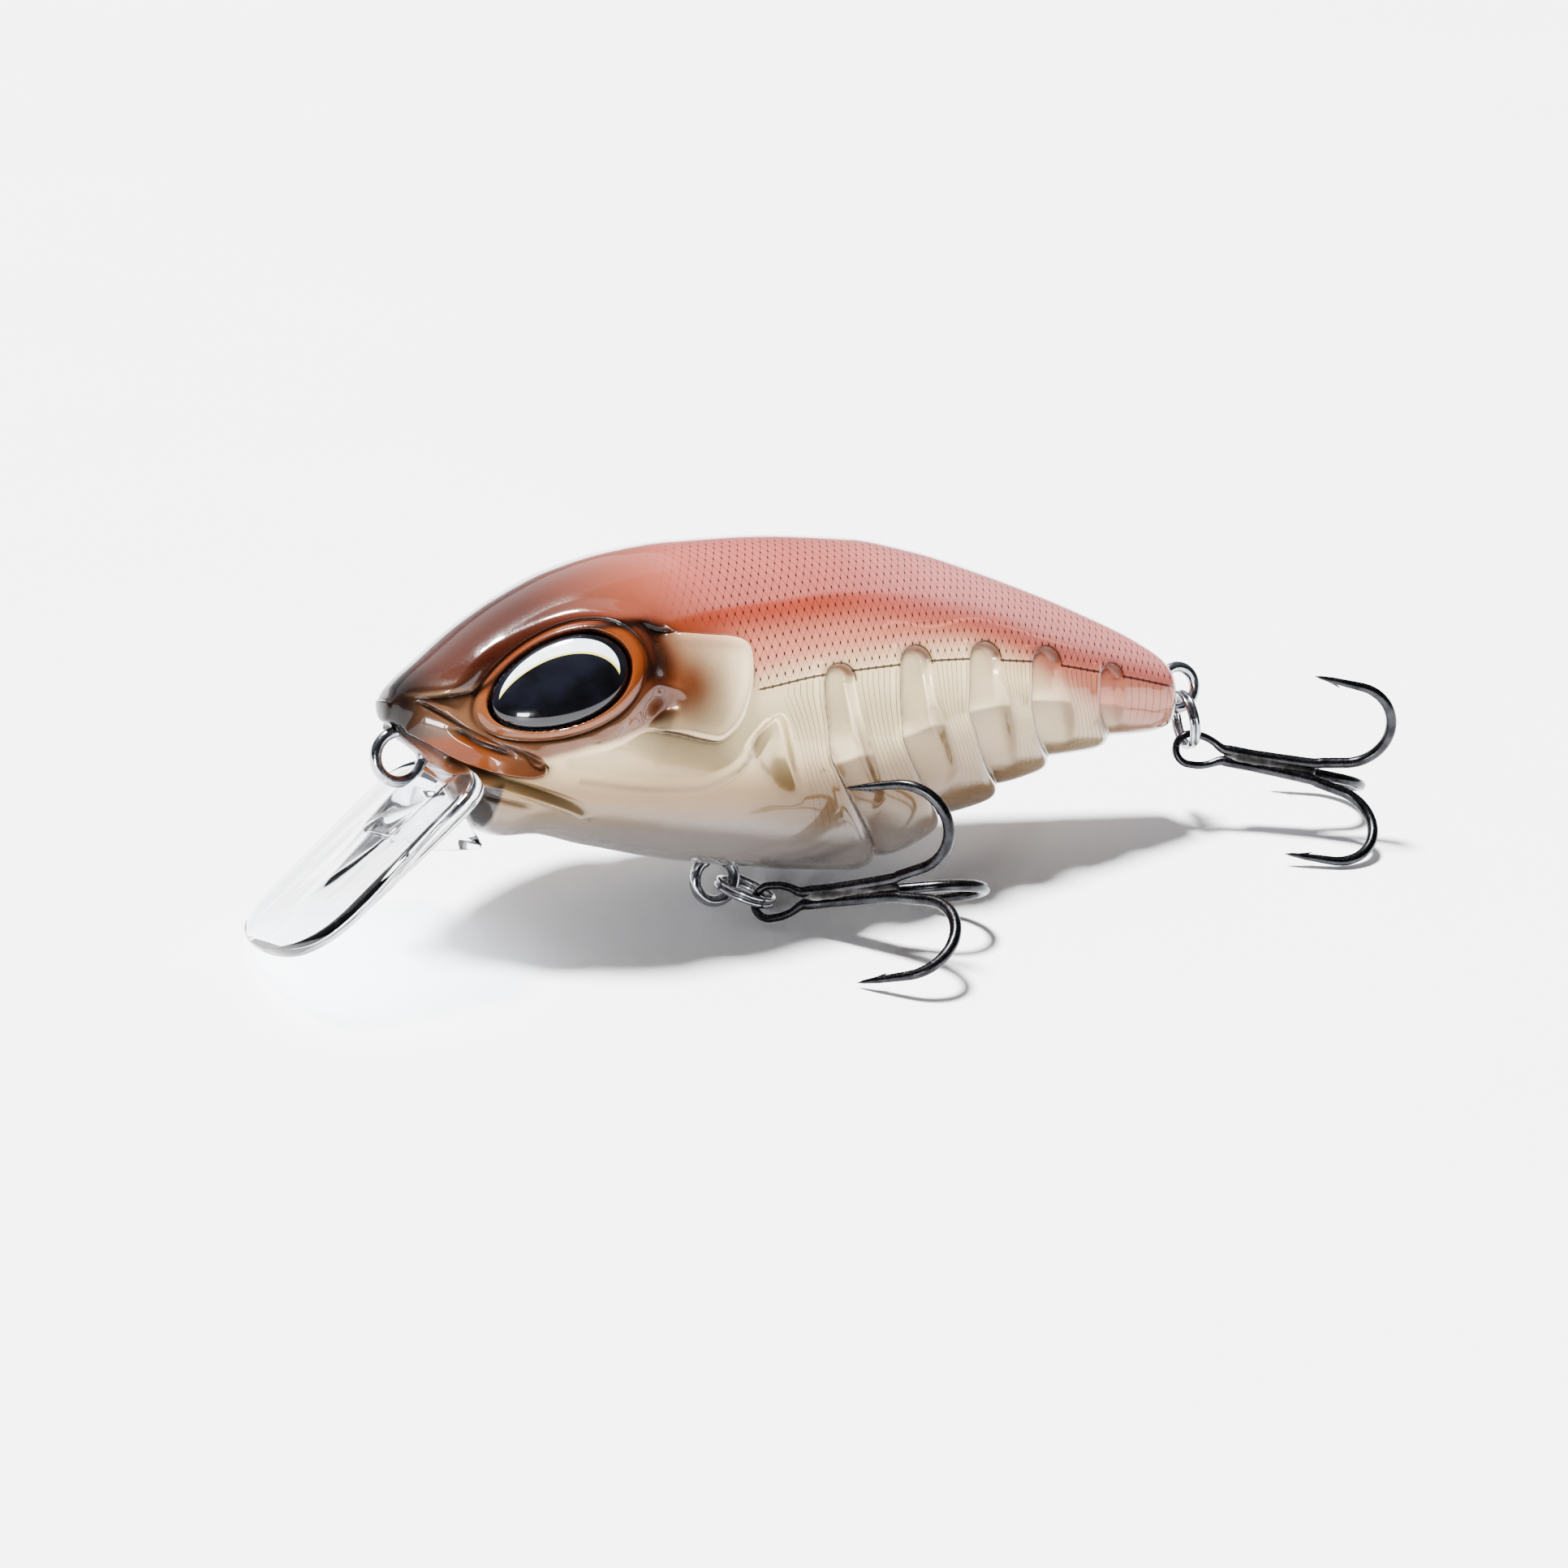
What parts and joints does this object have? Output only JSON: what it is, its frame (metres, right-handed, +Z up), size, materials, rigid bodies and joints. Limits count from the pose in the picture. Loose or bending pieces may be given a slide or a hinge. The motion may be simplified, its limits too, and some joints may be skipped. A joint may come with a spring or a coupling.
{
  "type": "crankbait fishing lure",
  "caption": "Small diving crankbait lure: hollow painted body with a clear angled lip, wire eyelets, split rings and swinging treble hooks.",
  "frame": {"origin": "middle of the lure's bounding box, on the surface it lies on", "axes": "+Z up, nose towards -X, tail towards +X; the lure leans 20 degrees about X as it lies, left flank towards -Y"},
  "size_m": [0.0914, 0.0322, 0.0262],
  "materials": {
    "shell": "clear-coated pearl paint, salmon pink back, copper brown head, pale belly",
    "lip": "clear polycarbonate",
    "hardware": "bright nickel-plated steel wire",
    "hook": "black nickel",
    "eye_foil": "printed foil",
    "eye_lens": "domed glossy resin",
    "ballast": "bare metal",
    "ball": "polished"
  },
  "bodies": {
    "lure_body": {"body_half_left": "shell", "body_half_right": "shell", "diving_lip": "lip", "line_tie_eyelet": "hardware", "belly_eyelet": "hardware", "tail_eyelet": "hardware", "eye_foil_left": "eye_foil", "eye_foil_right": "eye_foil", "eye_lens_left": "eye_lens", "eye_lens_right": "eye_lens", "belly_ballast": "ballast"},
    "belly_ring": {"belly_split_ring": "hardware"},
    "belly_treble": {"belly_treble_double_hook": "hook", "belly_treble_third_hook": "hook"},
    "tail_ring": {"tail_split_ring": "hardware"},
    "tail_treble": {"tail_treble_double_hook": "hook", "tail_treble_third_hook": "hook"},
    "rattle_ball_1": {"rattle_ball_1": "ball"},
    "rattle_ball_2": {"rattle_ball_2": "ball"},
    "rattle_ball_3": {"rattle_ball_3": "ball"}
  },
  "joints": [
    {"name": "belly_ring_swing", "type": "hinge", "parent": "lure_body", "child": "belly_ring", "pos_m": [-0.01087, 0.00193, 0.00229], "axis": [0, 0.94, -0.3412], "range_deg": [-10, 150]},
    {"name": "belly_treble_swing", "type": "hinge", "parent": "belly_ring", "child": "belly_treble", "pos_m": [-0.00827, -0.00142, 0.00163], "axis": [0.7693, 0.3105, -0.5584], "range_deg": [-5, 40]},
    {"name": "tail_ring_swing", "type": "hinge", "parent": "lure_body", "child": "tail_ring", "pos_m": [0.03011, 0.00495, 0.01061], "axis": [0, 0.94, -0.3412], "range_deg": [-120, 25]},
    {"name": "tail_treble_swing", "type": "hinge", "parent": "tail_ring", "child": "tail_treble", "pos_m": [0.03067, 0.003, 0.00641], "axis": [0.2254, 0.8073, -0.5454], "range_deg": [-45, 60]},
    {"name": "rattle_slide_1", "type": "slide", "parent": "lure_body", "child": "rattle_ball_1", "axis": [0, 0.94, -0.3412], "range_m": [-0.0072, 0]},
    {"name": "rattle_slide_2", "type": "slide", "parent": "lure_body", "child": "rattle_ball_2", "axis": [0, 0.94, -0.3412], "range_m": [-0.0056, 0]},
    {"name": "rattle_slide_3", "type": "slide", "parent": "lure_body", "child": "rattle_ball_3", "axis": [0, 0.94, -0.3412], "range_m": [-0.0038, 0]}
  ]
}
